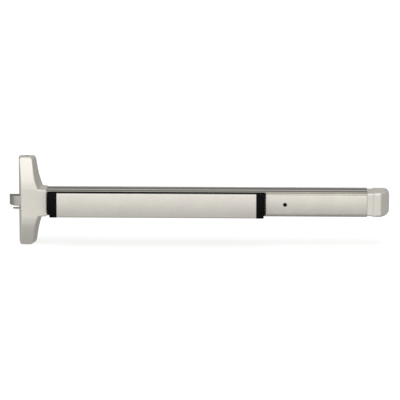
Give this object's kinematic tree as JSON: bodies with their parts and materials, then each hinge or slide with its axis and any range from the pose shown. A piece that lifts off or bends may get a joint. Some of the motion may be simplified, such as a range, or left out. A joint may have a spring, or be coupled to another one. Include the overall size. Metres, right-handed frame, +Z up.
{
  "type": "panic exit bar",
  "caption": "Rim panic exit bar for a door: T-shaped latch head, straight rail with a long push pad, smooth rail cover and rounded end cap.",
  "frame": {"origin": "middle of the latch head's four door-screw holes, on the door's surface and on the rail's centre line", "axes": "+X along the rail away from the latch head, +Y into the door, +Z up"},
  "size_m": [0.871, 0.0764, 0.205],
  "materials": {
    "satin_cast_metal": "satin aluminium lacquer over a zinc casting",
    "satin_aluminium": "satin anodised, fine brushing along the rail",
    "rail_aluminium": "satin anodised extrusion",
    "zinc_plated_steel": "zinc plated pressed steel",
    "fastener_steel": "bright steel",
    "bolt_steel": "satin stainless",
    "spring_steel": "oiled spring wire",
    "black_plastic": "moulded, slightly satin",
    "white_nylon": "natural nylon",
    "bronze": "sintered bronze",
    "black_rubber": "soft rubber"
  },
  "bodies": {
    "fixed_frame": {"base_channel": "rail_aluminium", "bracket_rivets": "fastener_steel", "chassis_screws": "fastener_steel", "end_bracket_screws": "fastener_steel", "bar_guides": "white_nylon", "head_chassis": "zinc_plated_steel", "head_cover": "satin_cast_metal", "head_cover_screws": "fastener_steel", "lever_stud": "zinc_plated_steel", "lever_clip": "zinc_plated_steel", "travel_bumpers": "black_rubber", "spring_bracket": "zinc_plated_steel", "dogging_bracket": "zinc_plated_steel", "rail_cover": "satin_aluminium", "end_bracket": "zinc_plated_steel", "end_cap": "satin_cast_metal", "end_cap_screw": "fastener_steel", "crank_bracket_left": "zinc_plated_steel", "crank_bracket_right": "zinc_plated_steel", "crank_pin_left": "zinc_plated_steel", "crank_pin_right": "zinc_plated_steel", "main_return_spring": "spring_steel", "latchbolt_spring": "spring_steel", "deadlatch_spring": "spring_steel"},
    "push_pad": {"push_pad_skin": "satin_aluminium", "pad_carrier": "black_plastic", "pad_end_cap_left": "black_plastic", "pad_end_cap_right": "black_plastic", "pad_bracket_left": "zinc_plated_steel", "pad_bracket_right": "zinc_plated_steel", "pad_bracket_screws": "fastener_steel"},
    "left_crank": {"bell_crank_left": "zinc_plated_steel", "crank_link_pins_left": "zinc_plated_steel", "crank_bush_left": "bronze"},
    "right_crank": {"bell_crank_right": "zinc_plated_steel", "crank_link_pins_right": "zinc_plated_steel", "crank_bush_right": "bronze"},
    "draw_bar_line": {"draw_bar": "zinc_plated_steel", "draw_bar_end": "zinc_plated_steel", "draw_bar_pin": "zinc_plated_steel", "draw_bar_rivets": "fastener_steel", "spring_rod": "zinc_plated_steel", "dog_catch": "zinc_plated_steel"},
    "lever": {"retractor_lever": "zinc_plated_steel", "lever_bush": "bronze"},
    "bolt": {"latchbolt": "bolt_steel", "latchbolt_pin": "bolt_steel"},
    "deadlatch_bolt": {"deadlatch": "bolt_steel"},
    "dogging_key_screw": {"dogging_screw": "fastener_steel", "dogging_cam": "zinc_plated_steel", "dogging_clip": "zinc_plated_steel"}
  },
  "joints": [
    {"name": "pad_press", "type": "slide", "parent": "fixed_frame", "child": "push_pad", "axis": [0, 1, 0], "range_m": [0, 0.019], "stiffness_N_per_m": 1800, "springref_m": -0.012},
    {"name": "left_crank_turn", "type": "hinge", "parent": "fixed_frame", "child": "left_crank", "pos_m": [0.131, -0.0278, 0], "axis": [0, 0, -1], "range_deg": [0, 32.46]},
    {"name": "right_crank_turn", "type": "hinge", "parent": "fixed_frame", "child": "right_crank", "pos_m": [0.451, -0.0278, 0], "axis": [0, 0, -1], "range_deg": [0, 32.46]},
    {"name": "draw_bar_slide", "type": "slide", "parent": "fixed_frame", "child": "draw_bar_line", "axis": [1, 0, 0], "range_m": [0, 0.0095], "deforming": ["main_return_spring"]},
    {"name": "lever_turn", "type": "hinge", "parent": "fixed_frame", "child": "lever", "pos_m": [0.0045, -0.008, 0.0415], "axis": [0, -1, 0], "range_deg": [0, 26.73]},
    {"name": "latchbolt_slide", "type": "slide", "parent": "fixed_frame", "child": "bolt", "axis": [1, 0, 0], "range_m": [0, 0.019], "deforming": ["latchbolt_spring"]},
    {"name": "deadlatch_slide", "type": "slide", "parent": "fixed_frame", "child": "deadlatch_bolt", "axis": [1, 0, 0], "range_m": [0, 0.012], "stiffness_N_per_m": 250, "springref_m": -0.008, "deforming": ["deadlatch_spring"]},
    {"name": "dogging_turn", "type": "hinge", "parent": "fixed_frame", "child": "dogging_key_screw", "pos_m": [0.5925, -0.03, 0], "axis": [0, 1, 0], "range_deg": [0, 90]}
  ],
  "couplings": [
    {"joint": "left_crank_turn", "follows": "pad_press", "rad_per_m": 29.809},
    {"joint": "right_crank_turn", "follows": "pad_press", "rad_per_m": 29.809},
    {"joint": "draw_bar_slide", "follows": "pad_press", "ratio": 0.5},
    {"joint": "lever_turn", "follows": "pad_press", "rad_per_m": 24.545},
    {"joint": "latchbolt_slide", "follows": "pad_press", "ratio": 1}
  ]
}
